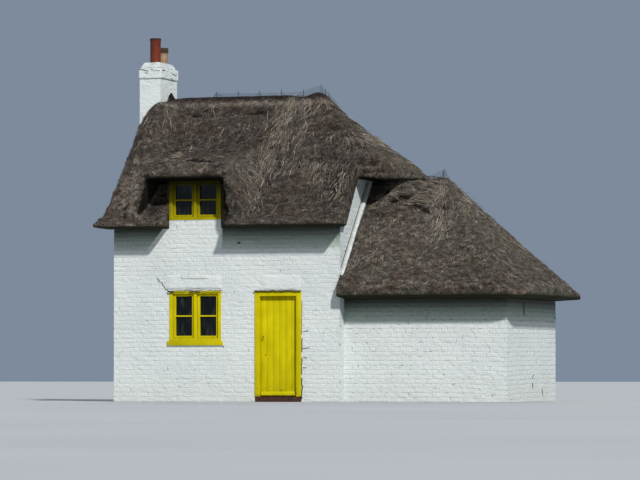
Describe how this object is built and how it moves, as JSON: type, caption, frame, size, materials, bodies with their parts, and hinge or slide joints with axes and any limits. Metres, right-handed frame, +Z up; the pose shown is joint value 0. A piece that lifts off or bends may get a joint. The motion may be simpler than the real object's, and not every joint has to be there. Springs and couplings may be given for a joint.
{
  "type": "thatched cottage",
  "caption": "White painted brick cottage with a half-hipped thatched roof, an eyebrow window, a chimney, a plank door and a lower hipped thatched wing.",
  "frame": {"origin": "middle of the footprint's bounding box, on the ground", "axes": "+X runs along the front from the chimney end to the wing, +Y from the front door to the back, +Z up"},
  "size_m": [8.45, 4.5, 7.1],
  "materials": {
    "thatch": "weathered long straw",
    "white_brick": "painted brickwork",
    "render": "smooth painted cement",
    "floor_tiles": "matt clay tiles",
    "floor_boards": "plain boards",
    "chimney_brick": "worn painted brickwork",
    "mortar": "rough painted cement",
    "red_clay": "unglazed",
    "buff_clay": "unglazed",
    "yellow_paint": "gloss paint",
    "window_glass": "clear",
    "iron": "blackened",
    "wire": "dull galvanised"
  },
  "bodies": {
    "house": {"house_thatch_front": "thatch", "house_thatch_back": "thatch", "house_thatch_hip": "thatch", "wing_thatch_front": "thatch", "wing_thatch_back": "thatch", "wing_thatch_hip": "thatch", "front_wall_left": "white_brick", "front_wall_right": "white_brick", "front_wall_over_door": "white_brick", "door_lintel": "render", "back_wall": "white_brick", "left_gable_front": "white_brick", "left_gable_back": "white_brick", "right_gable_over_doorway": "white_brick", "right_gable_front": "white_brick", "right_gable_back": "white_brick", "wing_front_wall": "white_brick", "wing_end_wall": "white_brick", "wing_back_wall": "white_brick", "ground_floor": "floor_tiles", "wing_floor": "floor_tiles", "upper_floor": "floor_boards", "chimney_stack": "chimney_brick", "chimney_band": "chimney_brick", "chimney_haunching": "mortar", "chimney_pot_red": "red_clay", "chimney_pot_buff": "buff_clay", "front_lower_window_frame": "yellow_paint", "front_lower_window_casement_left": "yellow_paint", "front_lower_window_casement_right": "yellow_paint", "front_lower_window_glass": "window_glass", "front_upper_window_frame": "yellow_paint", "front_upper_window_casement_left": "yellow_paint", "front_upper_window_casement_right": "yellow_paint", "front_upper_window_glass": "window_glass", "back_lower_window_frame": "yellow_paint", "back_lower_window_casement_left": "yellow_paint", "back_lower_window_casement_right": "yellow_paint", "back_lower_window_glass": "window_glass", "back_upper_window_frame": "yellow_paint", "back_upper_window_casement_left": "yellow_paint", "back_upper_window_casement_right": "yellow_paint", "back_upper_window_glass": "window_glass", "door_frame": "yellow_paint", "door_threshold": "render", "door_hinge_pin_low": "iron", "door_hinge_pin_high": "iron", "house_ridge_netting": "wire", "wing_ridge_netting": "wire", "wing_fillet_front": "render", "wing_fillet_back": "render"},
    "door": {"door_leaf": "yellow_paint", "door_ledge_low": "yellow_paint", "door_ledge_high": "yellow_paint", "door_weatherboard": "yellow_paint", "door_latch": "iron", "door_hinge_low": "iron", "door_hinge_high": "iron"}
  },
  "joints": [
    {"name": "front_door_swing", "type": "hinge", "parent": "house", "child": "door", "pos_m": [-0.251, -1.614, 1.05], "axis": [0, 0, -1], "range_deg": [0, 95]}
  ]
}
